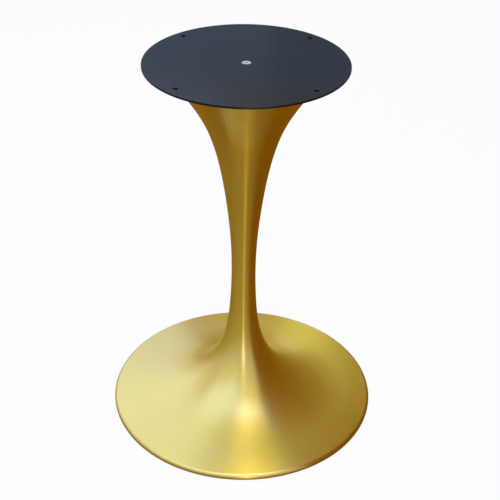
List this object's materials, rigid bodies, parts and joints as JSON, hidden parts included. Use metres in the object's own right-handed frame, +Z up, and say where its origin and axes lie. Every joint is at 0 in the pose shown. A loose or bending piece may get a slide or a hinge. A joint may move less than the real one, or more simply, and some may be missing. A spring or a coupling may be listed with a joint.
{
  "type": "tulip table base",
  "caption": "Tulip table base: a brushed gold trumpet pedestal with a slim waist and a wide round foot, under a round black plate that screws to a table top.",
  "frame": {"origin": "on the floor, under the middle of the foot", "axes": "+Z up along the stem; +X to the right and +Y to the back as the picture shows it, each midway between two of the plate's screw holes"},
  "size_m": [0.517, 0.517, 0.72],
  "materials": {
    "brushed_gold": "gold-toned spun steel, brushed round the axis, satin lacquer",
    "black_powder_coat": "satin black powder coat",
    "bright_zinc": "bright zinc plate",
    "mill_steel": "plain mill finish",
    "cast_ballast": "black-primed casting",
    "black_rubber": "matt moulded rubber"
  },
  "bodies": {
    "root": {"trumpet_shell": "brushed_gold", "top_plate": "black_powder_coat", "plate_screw": "bright_zinc", "mouth_disc": "mill_steel", "sleeve_nut": "bright_zinc", "tie_rod": "bright_zinc", "ballast": "cast_ballast", "flat_washer": "bright_zinc", "spring_washer": "bright_zinc", "rod_nut": "bright_zinc", "floor_pad_1": "black_rubber", "floor_pad_2": "black_rubber", "floor_pad_3": "black_rubber", "floor_pad_4": "black_rubber", "floor_pad_5": "black_rubber", "floor_pad_6": "black_rubber"}
  },
  "joints": []
}
